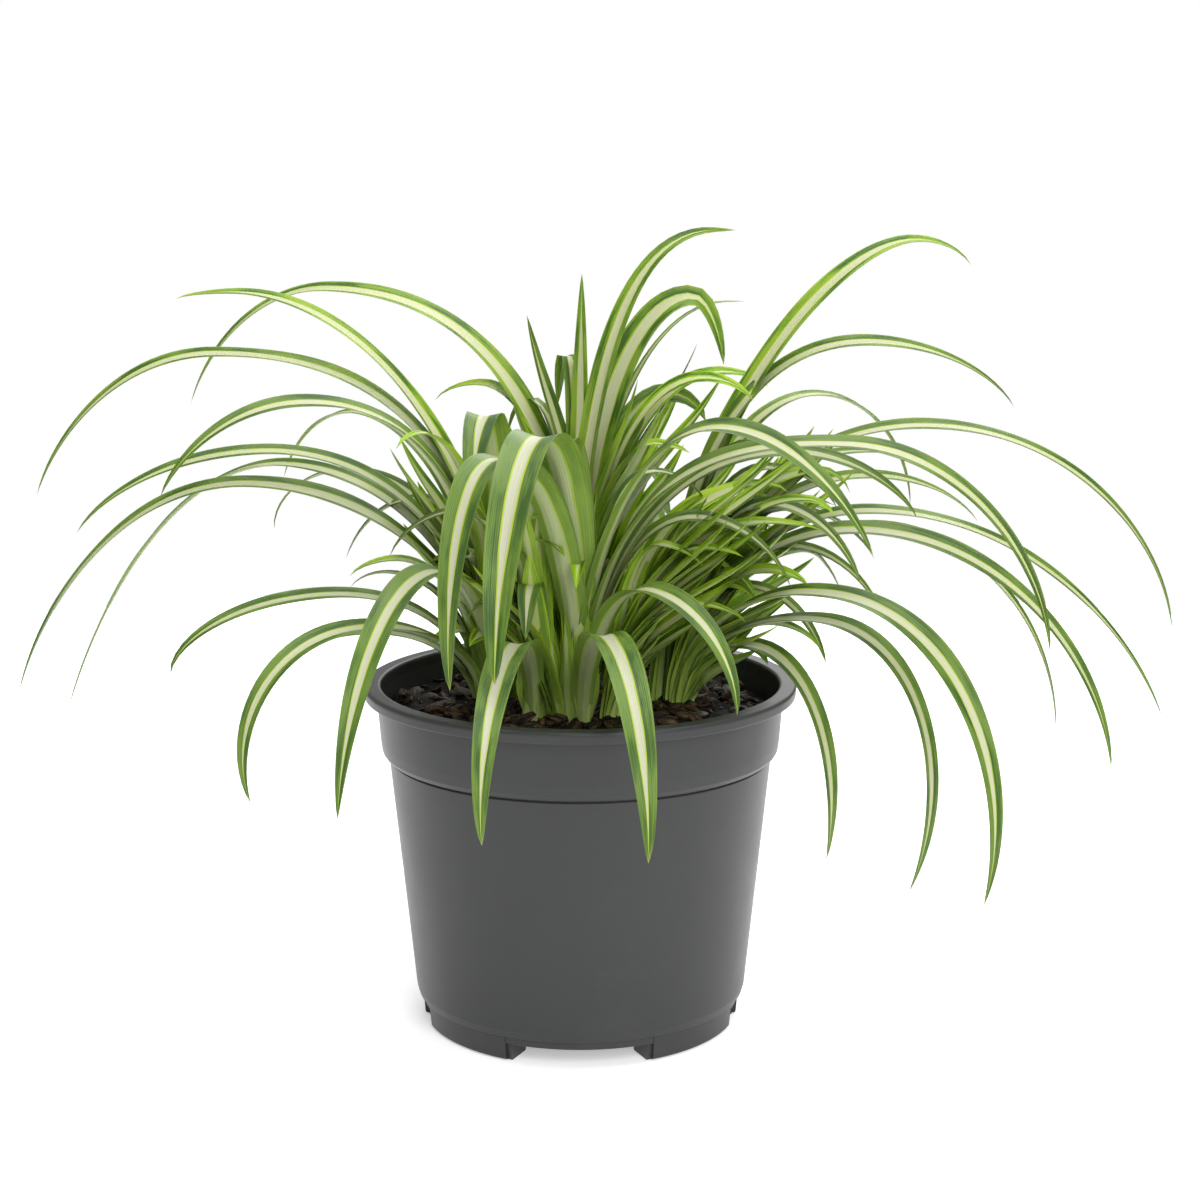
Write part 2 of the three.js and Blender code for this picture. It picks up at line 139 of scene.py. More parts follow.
def spun(mesh, section, start=-math.pi / 2, angle=2 * math.pi, steps=POT_STEPS):
    """Turns a section about the pot's axis: into a shell, or over part of a turn a block."""
    whole = angle >= 2 * math.pi
    ring = [mesh.verts.new((point.x, 0, point.y)) for point in section]
    if whole:
        profile = [mesh.edges.new(pair) for pair in zip(ring, ring[1:])]
        profile += ring
    else:
        profile = [mesh.faces.new(ring)]
        profile += [*profile[0].edges, *ring]
    bmesh.ops.rotate(mesh, verts=ring, cent=(0, 0, 0), matrix=Matrix.Rotation(start, 3, "Z"))
    bmesh.ops.spin(mesh, geom=profile, cent=(0, 0, 0), axis=(0, 0, 1), dvec=(0, 0, 0),
                   angle=angle, steps=steps, use_merge=whole, use_duplicate=False)


def made(name, mesh, material, sharp_angle=None):
    """Links a finished bmesh as an object in its material, shaded smooth."""
    data = bpy.data.meshes.new(name)
    for face in mesh.faces:
        face.smooth = True
    mesh.to_mesh(data)
    mesh.free()
    if sharp_angle:
        data.set_sharp_from_angle(angle=math.radians(sharp_angle))
    data.materials.append(material)
    piece = bpy.data.objects.new(name, data)
    bpy.context.scene.collection.objects.link(piece)
    return piece


def feed(tree, source, socket):
    """Links another node's socket to an input, or sets the input to a plain value."""
    if isinstance(source, bpy.types.NodeSocket):
        tree.links.new(source, socket)
    else:
        socket.default_value = source


def add_node(tree, kind, **settings):
    """Adds a shader node. A setting named after an input feeds it; another sets a property."""
    node = tree.nodes.new(kind)
    for name, value in settings.items():
        label = name.replace("_", " ")
        if label in node.inputs:
            feed(tree, value, node.inputs[label])
        else:
            setattr(node, name, value)
    return node


def new_finish(name, **settings):
    """A material with a Principled shader: the material, its tree and the shader."""
    material = bpy.data.materials.new(name)
    material.use_nodes = True
    shader = material.node_tree.nodes["Principled BSDF"]
    for label, value in settings.items():
        shader.inputs[label.replace("_", " ")].default_value = value
    return material, material.node_tree, shader


def noisy(tree, place, scale, detail, roughness=0.5):
    """Noise at a place, from 0 to 1."""
    texture = add_node(tree, "ShaderNodeTexNoise", Vector=place, Scale=scale, Detail=detail,
                       Roughness=roughness)
    return texture.outputs["Fac"]


def worked(tree, operation, one, other=0.0):
    """One step of arithmetic on two values, each a socket or a number."""
    node = add_node(tree, "ShaderNodeMath", operation=operation)
    feed(tree, one, node.inputs[0])
    feed(tree, other, node.inputs[1])
    return node.outputs[0]


def two_tone(tree, value, start, low_colour, end, high_colour):
    """Runs evenly from one colour, where a value is at start, to another at end."""
    node = add_node(tree, "ShaderNodeValToRGB", Fac=value)
    first, last = node.color_ramp.elements
    first.position = start
    first.color = low_colour
    last.position = end
    last.color = high_colour
    return node.outputs["Color"]


def roughen(tree, shader, height, strength, distance):
    """Gives a shader's surface a relief."""
    bump = add_node(tree, "ShaderNodeBump", Height=height, Strength=strength, Distance=distance)
    tree.links.new(bump.outputs["Normal"], shader.inputs["Normal"])


def moulded_plastic():
    """Semi-matte grey plastic: a fine grain, slow cloudy tone and a few paler rub marks."""
    material, tree, shader = new_finish("moulded_plastic", Specular_IOR_Level=0.35)
    place = add_node(tree, "ShaderNodeTexCoord").outputs["Object"]
    clouds = noisy(tree, place, 14.0, 3.0)
    grain = noisy(tree, place, 2600.0, 2.0, 0.6)
    rubs = noisy(tree, place, 60.0, 6.0, 0.7)
    mottle = worked(tree, "MULTIPLY", clouds, rubs)
    tone = two_tone(tree, mottle, 0.3, POT_GREY, 0.95, POT_GREY_WORN)
    shine = add_node(tree, "ShaderNodeMapRange", Value=rubs, To_Min=0.32, To_Max=0.46)
    tree.links.new(tone, shader.inputs["Base Color"])
    tree.links.new(shine.outputs["Result"], shader.inputs["Roughness"])
    roughen(tree, shader, grain, 0.12, 0.00015)
    return material


def cut_away(piece, cutters):
    """Cuts a bmesh of closed blocks out of a piece for good."""
    data = bpy.data.meshes.new("cutters")
    cutters.to_mesh(data)
    cutters.free()
    tool = bpy.data.objects.new("cutters", data)
    bpy.context.scene.collection.objects.link(tool)
    cut = piece.modifiers.new("cut", "BOOLEAN")
    cut.object = tool
    cut.operation = "DIFFERENCE"
    cut.solver = "EXACT"
    graph = bpy.context.evaluated_depsgraph_get()
    carved = bpy.data.meshes.new_from_object(piece.evaluated_get(graph))
    piece.modifiers.clear()
    piece.data = carved
    bpy.data.objects.remove(tool)


plastic = moulded_plastic()

wall = bmesh.new()
spun(wall, filleted(WALL_SECTION))
bmesh.ops.remove_doubles(wall, verts=wall.verts, dist=MERGED)
bmesh.ops.recalc_face_normals(wall, faces=wall.faces)
pot = made("pot_body", wall, plastic)
drains = bmesh.new()
for hole in range(DRAIN_HOLES):
    turn = (hole + 0.5) / DRAIN_HOLES * 2 * math.pi
    centre = Vector((DRAIN_CIRCLE * math.cos(turn), DRAIN_CIRCLE * math.sin(turn), FLOOR_MIDDLE))
    bmesh.ops.create_cone(drains, cap_ends=True, segments=32, radius1=DRAIN_RADIUS * MM,
                          radius2=DRAIN_RADIUS * MM, depth=DRAIN_DEPTH * MM,
                          matrix=Matrix.Translation(centre * MM))
cut_away(pot, drains)
pot.data.set_sharp_from_angle(angle=math.radians(50))
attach(pot, "root")
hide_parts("pot")

for number, (first, last) in enumerate(FOOT_PADS, start=1):
    span = last - first
    skin_margin = PAD_SKIN_MARGIN if span > WIDEST_LUG else LUG_SKIN_MARGIN
    pad = bmesh.new()
    for section, margin in ((FOOT_CORE, 0), (FOOT_SKIN, skin_margin)):
        # The front is a quarter turn back from +X, where a turn starts.
        low = math.radians(first + margin - 90)
        high = math.radians(last - margin - 90)
        spun(pad, filleted(section, segments=4), start=low, angle=high - low,
             steps=max(6, round(span / 2)))
    bmesh.ops.recalc_face_normals(pad, faces=pad.faces)
    block = made(f"pot_foot_{number}", pad, plastic, sharp_angle=40)
    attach(block, "root")
    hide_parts("pot")


# ---- the potting mix ----------------------------------------------------------------------
# Moist peat with chips of bark and a few grey, weathered bits, filled to nine millimetres
# under the lip. It is loose stuff, laid in by hand, so the surface is lumpy.

MIX_LEVEL = 96.0
MIX_RADIUS = 58.7
MIX_SECTION = [(0, 8.0, 0), (48.3, 8.0, 0), (56.0, 83.0, 0), (58.1, 88.0, 0), (MIX_RADIUS, 93.0, 0)]
MIX_RINGS = 44
MIX_STEPS = 150
# Mounds, lumps and grit: how wide and how high in millimetres, and a seed.
MIX_LUMPS = [(17.0, 2.6, 3.0), (5.0, 1.5, 9.0), (1.9, 0.7, 5.0)]
PEAT_DARK = (0.0015, 0.001, 0.0007, 1)
PEAT_BROWN = (0.018, 0.012, 0.007, 1)


def mix_height(x, y):
    """Height of the mix in millimetres at a place in millimetres."""
    height = MIX_LEVEL
    for width, rise, seed in MIX_LUMPS:
        height += rise * noise.noise(Vector((x / width, y / width, seed)))
    return height


def peat():
    """Near-black moist peat with brown fibres."""
    material, tree, shader = new_finish("peat", Roughness=0.75, Specular_IOR_Level=0.12)
    place = add_node(tree, "ShaderNodeTexCoord").outputs["Object"]
    crumbs = noisy(tree, place, 420.0, 6.0, 0.75)
    patches = noisy(tree, place, 90.0, 3.0)
    mottle = worked(tree, "MULTIPLY", worked(tree, "ADD", crumbs, patches), 0.5)
    tone = two_tone(tree, mottle, 0.42, PEAT_DARK, 0.78, PEAT_BROWN)
    tree.links.new(tone, shader.inputs["Base Color"])
    roughen(tree, shader, crumbs, 0.9, 0.0008)
    return material


def bark(name, dark, light):
    """Split bark: fibres run along the chip's own length, pale where it is torn."""
    material, tree, shader = new_finish(name, Roughness=0.5, Specular_IOR_Level=0.2)
    place = add_node(tree, "ShaderNodeAttribute", attribute_name="chip").outputs["Vector"]
    drawn_out = add_node(tree, "ShaderNodeMapping", Vector=place, Scale=(0.16, 1.6, 1.6))
    fibres = noisy(tree, drawn_out.outputs["Vector"], 520.0, 5.0, 0.65)
    tone = two_tone(tree, fibres, 0.46, dark, 0.74, light)
    tree.links.new(tone, shader.inputs["Base Color"])
    roughen(tree, shader, fibres, 1.0, 0.0009)
    return material


soil = bmesh.new()
ring_radii = [MIX_RADIUS * (1 - ring / MIX_RINGS) for ring in range(MIX_RINGS + 1)]
surface = [(radius, MIX_LEVEL, 0) for radius in ring_radii]
spun(soil, filleted(MIX_SECTION + surface), steps=MIX_STEPS)
bmesh.ops.remove_doubles(soil, verts=soil.verts, dist=MERGED)
for vert in soil.verts:
    if vert.co.z > (MIX_LEVEL - 0.5) * MM:
        vert.co.z = mix_height(vert.co.x / MM, vert.co.y / MM) * MM
bmesh.ops.recalc_face_normals(soil, faces=soil.faces)
mix = made("potting_mix_surface", soil, peat())
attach(mix, "root")
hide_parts("potting_mix")

# How broad and deep a chip is, in parts of its length.
CHIP_BREADTH = (0.35, 0.7)
CHIP_DEPTH = (0.3, 0.55)
# The noise that makes the chips lumpy has a seed of its own, so that each run gives the same.
CHIP_SEED = 11
chip_random = random.Random(CHIP_SEED)
noise.seed_set(CHIP_SEED)


def split_chip(chips, own_place, seed, size, roundness):
    """One lumpy chip at the origin, its long side along X: its corners."""
    corners = bmesh.ops.create_icosphere(chips, subdivisions=roundness, radius=0.5)["verts"]
    for corner in corners:
        corner.co += noise.noise_vector(corner.co * 2.0 + seed) * 0.24
        corner.co = corner.co * size * MM
        corner[own_place] = corner.co + seed * 0.01
    return corners


def scatter_chips(name, count, lengths, material, roundness=2, least_radius=0.0):
    """Many split chips lying at all angles on the mix, joined into one piece."""
    chips = bmesh.new()
    own_place = chips.verts.layers.float_vector.new("chip")
    for number in range(count):
        length = chip_random.uniform(*lengths)
        breadth = length * chip_random.uniform(*CHIP_BREADTH)
        depth = length * chip_random.uniform(*CHIP_DEPTH)
        spread = math.sqrt(chip_random.uniform((least_radius / MIX_RADIUS) ** 2, 1))
        reach = spread * (MIX_RADIUS - length / 2)
        bearing = chip_random.uniform(0, 2 * math.pi)
        x = reach * math.cos(bearing)
        y = reach * math.sin(bearing)
        seed = Vector((number * 3.7, number * 1.3, length))
        chip = split_chip(chips, own_place, seed, Vector((length, breadth, depth)), roundness)
        turn = Matrix.Rotation(chip_random.uniform(0, 2 * math.pi), 3, "Z")
        roll = Matrix.Rotation(chip_random.gauss(0, 0.4), 3, "X")
        pitch = Matrix.Rotation(chip_random.gauss(0, 0.3), 3, "Y")
        turn @= roll @ pitch
        bmesh.ops.rotate(chips, verts=chip, cent=(0, 0, 0), matrix=turn)
        rest = mix_height(x, y) + 0.2 * depth
        bmesh.ops.translate(chips, verts=chip, vec=Vector((x, y, rest)) * MM)
    bmesh.ops.recalc_face_normals(chips, faces=chips.faces)
    piece = made(name, chips, material, sharp_angle=35)
    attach(piece, "root")
    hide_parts("potting_mix")


brown_bark = bark("brown_bark", (0.0025, 0.0013, 0.0006, 1), (0.15, 0.083, 0.04, 1))
dark_bark = bark("dark_bark", (0.0015, 0.0009, 0.0005, 1), (0.05, 0.028, 0.013, 1))
grey_bark = bark("grey_bark", (0.025, 0.021, 0.018, 1), (0.36, 0.32, 0.28, 1))
scatter_chips("bark_chips", 230, (4.5, 10.0), brown_bark)
scatter_chips("bark_crumbs", 900, (1.2, 3.6), dark_bark, roundness=1)
scatter_chips("grey_flakes", 26, (2.5, 6.0), grey_bark, least_radius=20)


# ---- the leaves ---------------------------------------------------------------------------
# Each leaf is one blade: folded and pale where it leaves the crown, flatter and widest along
# the middle, and drawn out to a point. A cream stripe runs down the middle between two thin
# yellow lines, with green margins on either side.

YOUNG_DARK = (0.035, 0.11, 0.002, 1)
YOUNG_MID = (0.19, 0.38, 0.006, 1)
YOUNG_BRIGHT = (0.44, 0.58, 0.03, 1)
YOUNG_CREAM = (0.54, 0.58, 0.27, 1)
OLD_DARK = (0.034, 0.08, 0.01, 1)
OLD_MID = (0.075, 0.14, 0.018, 1)
OLD_BRIGHT = (0.13, 0.21, 0.03, 1)
OLD_CREAM = (0.45, 0.45, 0.33, 1)
STRIPE_STREAK = (0.32, 0.38, 0.15, 1)
LINE_YELLOW = (0.36, 0.45, 0.02, 1)
SHEATH_PALE = (0.36, 0.47, 0.13, 1)
UNDERSIDE_GREEN = (0.24, 0.36, 0.06, 1)
TIP_BROWN = (0.3, 0.22, 0.08, 1)


def mixed(tree, share, one, other):
    """Mixes two colours, each a socket or a colour, by a socket."""
    node = add_node(tree, "ShaderNodeMix", data_type="RGBA")
    colours = [socket for socket in node.inputs if socket.type == "RGBA"]
    tree.links.new(share, node.inputs["Factor"])
    feed(tree, one, colours[0])
    feed(tree, other, colours[1])
    return next(socket for socket in node.outputs if socket.type == "RGBA")


def stepped(tree, value, start, end, low=0.0, high=1.0):
    """A smooth step of a value from low at start to high at end; each may be a socket."""
    node = add_node(tree, "ShaderNodeMapRange", interpolation_type="SMOOTHSTEP", Value=value,
                    From_Min=start, From_Max=end, To_Min=low, To_Max=high)
    return node.outputs["Result"]


def blade_noise(tree, spot, rates, scale, detail, roughness=0.5):
    """Noise drawn out along a blade. Spot is across, metres along and tone, which moves it."""
    scaled = [worked(tree, "MULTIPLY", value, rate) for value, rate in zip(spot, rates)]
    place = add_node(tree, "ShaderNodeCombineXYZ", X=scaled[0], Y=scaled[1], Z=scaled[2])
    return noisy(tree, place.outputs[0], scale, detail, roughness)


def margin_green(tree, edge, streak, patch, age):
    """The margins: mottled along the blade, darker and duller on the older leaves, which on the
    large leaves facing the front is painted shade.
    """
    together = worked(tree, "ADD", patch, worked(tree, "MULTIPLY", streak, 0.8))
    mottle = stepped(tree, together, 0.7, 1.1)
    ripe = stepped(tree, age, 0.25, 0.7)
    dark = mixed(tree, ripe, YOUNG_DARK, OLD_DARK)
    middling = mixed(tree, ripe, YOUNG_MID, OLD_MID)
    bright = mixed(tree, ripe, YOUNG_BRIGHT, OLD_BRIGHT)
    green = mixed(tree, stepped(tree, mottle, 0.0, 0.55), dark, middling)
    green = mixed(tree, stepped(tree, mottle, 0.45, 1.0, 0.0, 0.65), green, bright)
    return mixed(tree, stepped(tree, edge, 0.86, 1.0, 0.0, 0.5), green, bright)


def with_stripe(tree, green, edge, streak, patch, part, age):
    """Lays the cream stripe over the green, between two yellow lines: narrower on the older
    leaves, and down to nothing at the tip."""
    slender = stepped(tree, age, 0.4, 0.95, 0.39, 0.26)
    narrowing = stepped(tree, part, 0.15, 0.6, 0.5, slender)
    half = worked(tree, "MULTIPLY", narrowing, stepped(tree, part, 0.995, 0.75))
    wander = worked(tree, "MULTIPLY", worked(tree, "SUBTRACT", patch, 0.5), 0.16)
    edge_wandering = worked(tree, "ADD", edge, wander)
    line_end = worked(tree, "ADD", half, 0.09)
    line_start = worked(tree, "SUBTRACT", half, 0.03)
    line = stepped(tree, edge_wandering, line_end, worked(tree, "SUBTRACT", line_end, 0.05))
    stripe = stepped(tree, edge_wandering, half, line_start)
    # Older leaves get a greyer cream; on the large leaves facing the front this greying is painted
    # shade.
    cream = mixed(tree, age, YOUNG_CREAM, OLD_CREAM)
    cream = mixed(tree, stepped(tree, streak, 0.4, 0.8, 0.0, 0.6), cream, STRIPE_STREAK)
    colour = mixed(tree, worked(tree, "MULTIPLY", line, 0.85), green, LINE_YELLOW)
    return mixed(tree, stripe, colour, cream)


def striped_leaf():
    """Satin leaf. The blade attribute holds how far across (-1 to 1), metres from the root and
    the part of the length; the growth attribute holds upper side, tone and age, where the age of
    the large leaves also carries painted shade at the front and painted light high up."""
    material, tree, shader = new_finish(
        "striped_leaf",
        Specular_IOR_Level=0.3,
        Subsurface_Weight=0.12,
        Subsurface_Radius=(0.7, 1.0, 0.15),
        Subsurface_Scale=0.0012,
    )
    blade = add_node(tree, "ShaderNodeAttribute", attribute_name="blade").outputs["Vector"]
    growth = add_node(tree, "ShaderNodeAttribute", attribute_name="growth").outputs["Vector"]
    across, metres, part = add_node(tree, "ShaderNodeSeparateXYZ", Vector=blade).outputs
    upper, tone, age = add_node(tree, "ShaderNodeSeparateXYZ", Vector=growth).outputs

    # Streaks run along the blade, finer across it than along it; patches are slower.
    spot = (across, metres, tone)
    streak = blade_noise(tree, spot, (5.0, 14.0, 37.0), 2.6, 4.0, 0.65)
    patch = blade_noise(tree, spot, (1.1, 60.0, 91.0), 1.0, 2.0)
    edge = worked(tree, "ABSOLUTE", across)
    green = margin_green(tree, edge, streak, patch, age)
    colour = with_stripe(tree, green, edge, streak, patch, part, age)

    # Pale at the sheath, duller on the underside, brown at the very tip.
    colour = mixed(tree, stepped(tree, metres, 0.034, 0.0, 0.0, 0.55), colour, SHEATH_PALE)
    under = worked(tree, "MULTIPLY", worked(tree, "SUBTRACT", 1.0, upper), 0.45)
    colour = mixed(tree, under, colour, UNDERSIDE_GREEN)
    colour = mixed(tree, stepped(tree, part, 0.988, 1.0), colour, TIP_BROWN)
    tree.links.new(colour, shader.inputs["Base Color"])
    tree.links.new(stepped(tree, streak, 0.2, 0.8, 0.34, 0.48), shader.inputs["Roughness"])

    # Parallel veins.
    veins = worked(tree, "SINE", worked(tree, "MULTIPLY", across, 58.0))
    height = worked(tree, "ADD", worked(tree, "MULTIPLY", veins, 0.25), streak)
    roughen(tree, shader, height, 0.35, 0.0003)
    return material


# A leaf's line, in millimetres: it rises from its root to the top of the arch, then falls to
# the tip. Leaves with a low arch grow on the outside of the crown, high ones in its middle.
# Pulls are parts of the way across and up that a stretch of the line keeps its direction for.
LEAF_ROOT = 95.0
ROOT_INSET = 3.0
OUTSIDE_TOP = 120
MIDDLE_TOP = 220
ROOT_PULL = (0.06, 0.42)
YOUNG_TIP_PULL = (0.35, 0.3)
FALL_PULL = 0.5
HANGING_TIP_PULL = (0.12, 0.45)
USUAL_BOW = 0.5
CURVE_POINTS = 80
LEAF_STEP = 3.2
FEWEST_STEPS = 30


def leaf_curve(root, top, tip, bulge, bow):
    """The points of a leaf's line, unevenly spaced."""
    rise = top - root
    leaving = root + Vector((ROOT_PULL[0] * rise.x, (ROOT_PULL[1] + bow / 2) * rise.y))
    if top == tip:
        arriving = top - Vector((YOUNG_TIP_PULL[0] * rise.x, YOUNG_TIP_PULL[1] * rise.y))
        return list(interpolate_bezier(root, leaving, arriving, top, CURVE_POINTS))
    arriving = top - Vector((bow * rise.x, 0))
    fall = tip - top
    over = top + Vector((FALL_PULL * fall.x + bulge, 0))
    down = tip - Vector((HANGING_TIP_PULL[0] * fall.x - bulge, HANGING_TIP_PULL[1] * fall.y))
    rising = list(interpolate_bezier(root, leaving, arriving, top, CURVE_POINTS))
    falling = list(interpolate_bezier(top, over, down, tip, CURVE_POINTS))
    return rising + falling[1:]


def leaf_line(radius, leaf):
    """A leaf's line in its own upright plane, reach and height, evenly spaced; its length."""
    top = Vector(leaf[1:3])
    tip = Vector(leaf[3:5])
    bulge = leaf[8] if len(leaf) > 8 else 0
    bow = leaf[9] if len(leaf) > 9 else USUAL_BOW
    outerness = 1 - min(max((top.y - OUTSIDE_TOP) / (MIDDLE_TOP - OUTSIDE_TOP), 0), 1)
    root = Vector((radius * outerness - ROOT_INSET, LEAF_ROOT))
    line = leaf_curve(root, top, tip, bulge, bow)
    lengths = [0.0]
    for here, after in zip(line, line[1:]):
        lengths.append(lengths[-1] + (after - here).length)
    steps = max(FEWEST_STEPS, round(lengths[-1] / LEAF_STEP))
    spaced = []
    index = 0
    for step in range(steps + 1):
        wanted = lengths[-1] * step / steps
        while index < len(line) - 2 and lengths[index + 1] < wanted:
            index += 1
        part = (wanted - lengths[index]) / (lengths[index + 1] - lengths[index])
        spaced.append(line[index].lerp(line[index + 1], min(part, 1)))
    return spaced, lengths[-1]


def smooth_step(value):
    """Eases from 0 to 1 as a value goes from 0 to 1."""
    value = min(max(value, 0), 1)
    return value * value * (3 - 2 * value)


# The blade along its line. Angles are in degrees, thicknesses in millimetres, and where
# something ends or starts is a part of the length.
AROUND = 24
ROLL_END = 0.4
TIP_ROLL = 0.5
TIP_ROLL_START = 0.45
SWAY = 3.5
SWAY_WAVES = 9
ROOT_WIDTH = 0.65
FULL_WIDTH_AT = 0.45
ROOT_FOLD = 42
OPEN_FOLD = 18
OPEN_AT = 0.3
KEEL_ROUNDING = 0.02
RIPPLE = 0.22
RIPPLE_LENGTH = 9
EDGE_THICKNESS = 0.16
MIDDLE_THICKNESS = 0.5
RIB_DEPTH = 0.35
RIB_PART = 1 / 5
EDGE_SHARPNESS = 12


def leaf_turns(middles, sideways, roll, wave):
    """At each step, the directions across the blade and out of its upper face."""
    steps = len(middles) - 1
    turned = []
    for step in range(steps + 1):
        along = step / steps
        tangent = (middles[min(step + 1, steps)] - middles[max(step - 1, 0)]).normalized()
        level = (sideways - tangent * sideways.dot(tangent)).normalized()
        face = tangent.cross(level)
        sway = SWAY * math.sin(along * SWAY_WAVES + wave) * along
        tip_part = smooth_step((along - TIP_ROLL_START) / (1 - TIP_ROLL_START))
        rolled = smooth_step(along / ROLL_END) + TIP_ROLL * tip_part
        turn = Matrix.Rotation(math.radians(roll * rolled + sway), 3, tangent)
        turned.append((turn @ level, turn @ face))
    return turned


def section_point(across, upper, along, length, width, fullness, wave):
    """A point of the blade's section, in millimetres across the blade and out of its face."""
    swell = ROOT_WIDTH + (1 - ROOT_WIDTH) * smooth_step(along / FULL_WIDTH_AT)
    taper = (1 - min(along, 1) ** (2.2 + 1.4 * fullness)) ** (0.9 - 0.3 * fullness)
    half = 0.5 * width * swell * taper
    fold = math.radians(ROOT_FOLD + (OPEN_FOLD - ROOT_FOLD) * smooth_step(along / OPEN_AT))
    bend = math.sqrt(across * across + KEEL_ROUNDING) - math.sqrt(KEEL_ROUNDING)
    phase = along * length / RIPPLE_LENGTH + wave * 3 + 2 * across
    ripple = RIPPLE * math.sin(phase) * across ** 2 * taper
    thickness = (EDGE_THICKNESS + MIDDLE_THICKNESS * (1 - abs(across)) ** 1.5) * taper ** 0.5
    if not upper:
        thickness += RIB_DEPTH * max(0, 1 - abs(across) / RIB_PART) * taper
    skin = thickness / 2 * min(1, EDGE_SHARPNESS * (1 - abs(across)) + 0.5)
    outward = bend * half * math.sin(fold) + ripple + (skin if upper else -skin)
    return across * half * math.cos(fold), outward


def grow_leaf(name, node, x, y, radius, leaf, nature):
    """Makes one leaf, stood at its crown. Nature is tone and age, 0 to 1, and a wave seed."""
    compass, width, roll, fullness = leaf[0], *leaf[5:8]
    tone, age, wave = nature
    bearing = math.radians(compass)
    outward = Vector((math.cos(bearing), math.sin(bearing), 0))
    sideways = Vector((-math.sin(bearing), math.cos(bearing), 0))
    line, length = leaf_line(radius, leaf)
    steps = len(line) - 1
    middles = [Vector((x, y, point.y)) + outward * point.x for point in line]
    turns = leaf_turns(middles, sideways, roll, wave)

    blade = bmesh.new()
    blade.loops.layers.uv.new("OFBake")
    lie = blade.verts.layers.float_vector.new("blade")
    growth = blade.verts.layers.float_vector.new("growth")
    bmesh.ops.create_grid(blade, x_segments=AROUND, y_segments=steps, size=0.5, calc_uvs=True)
    for vert in blade.verts:
        around = vert.co.x + 0.5
        along = vert.co.y + 0.5
        step = round(along * steps)
        upper = around <= 0.5
        across = 4 * around - 1 if upper else 3 - 4 * around
        place = middles[step]
        if 0 < step < steps:
            level, face = turns[step]
            aside, out = section_point(across, upper, along, length, width, fullness, wave)
            place = place + level * aside + face * out
        vert.co = place * MM
        vert[lie] = (across, along * length * MM, along)
        vert[growth] = (1.0 if upper else 0.0, tone, age)
    for edge in blade.edges:
        if all(abs(abs(vert[lie].x) - 1) < 1e-4 for vert in edge.verts):
            edge.smooth = False
    bmesh.ops.remove_doubles(blade, verts=blade.verts, dist=MERGED)
    bmesh.ops.recalc_face_normals(blade, faces=blade.faces)
    piece = made(name, blade, leaf_paint)
    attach(piece, "root")
    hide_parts(node)


leaf_paint = striped_leaf()
leaf_random = random.Random(5)
# The age of a large leaf, which also paints light and shade: at the side; how much older it is
# made at the front, which is painted shade that darkens and dulls the leaves facing the front;
# how much younger the high ones are, partly painted light shining through them from behind;
# from and to which height; and how much it varies.
SIDE_AGE = 0.64
FRONT_PAINTED_SHADE = 0.34
HIGH_YOUTH_AND_PAINTED_LIGHT = 0.12
HIGH_FROM = 170
HIGH_TO = 240
AGE_SPREAD = 0.06


def grow_shoot(node, shoot, x, y, radius, leaves):
    """All the large leaves of one shoot, named after it."""
    for number, leaf in enumerate(leaves, start=1):
        facing = max(-math.sin(math.radians(leaf[0])), 0)
        highness = smooth_step((leaf[2] - HIGH_FROM) / (HIGH_TO - HIGH_FROM))
        # Painted shade and light: facing the front adds age, making a darker, duller leaf; height
        # takes age away, making a brighter one.
        age = SIDE_AGE + FRONT_PAINTED_SHADE * facing - HIGH_YOUTH_AND_PAINTED_LIGHT * highness
        age += leaf_random.uniform(-AGE_SPREAD, AGE_SPREAD)
        nature = (leaf_random.random(), age, leaf_random.uniform(0, 6.28))
        grow_leaf(f"leaf_{shoot}_{number:02d}", node, x, y, radius, leaf, nature)


# A leaf's row: compass bearing (degrees, 0 to the right and 90 to the back), reach and height
# of the top of its arch, reach and height of its tip, width, roll of the blade (degrees), how
# late it tapers (0 to 1), and where it needs them the bulge of the fall and the bow of the rise.
# Reaches are from the middle of the shoot, in millimetres; tip and top alike is a young leaf.
grow_shoot("rosette_front", "front", 0, -16, 9, [
    (243, 51, 180, 75, 121, 13, 0, 0.8, 6),
    (256, 46, 186, 88, 127, 15.5, 0, 1, 3),
    (248, 9, 181, 20, 170, 13, 0, 1),
    (281, 45, 130, 97, 82, 12.5, 0, 0.6, 8),
    (305, 36, 141, 75, 113, 11, 8, 0.5, 5),
    (325, 50, 187, 97, 156, 11.5, 20, 0.4, -2),
    (340, 80, 182, 138, 127, 11, 18, 0.5, 5, 0.65),
    (349, 62, 178, 98, 160, 10, 20, 0.5),
    (10, 40, 240, 46, 240, 11, 30, 0.4, 0, 0.62),
    (352, 34, 158, 62, 138, 8.5, 18, 0.45),
    (15, 22, 170, 40, 158, 8.5, 10, 0.45),
])

grow_shoot("rosette_front", "front_offset", -13, -13, 7, [
    (264, 52, 128, 106, 89, 11.5, 0, 0.6, 15),
    (222, 9, 148, 17, 134, 10, 0, 0.6),
    (172, 22, 158, 44, 144, 10, -10, 0.4),
    (262, 8, 138, 18, 124, 10.5, 0, 0.6),
    (112, 8, 172, 15, 162, 9.5, 0, 0.5),
])

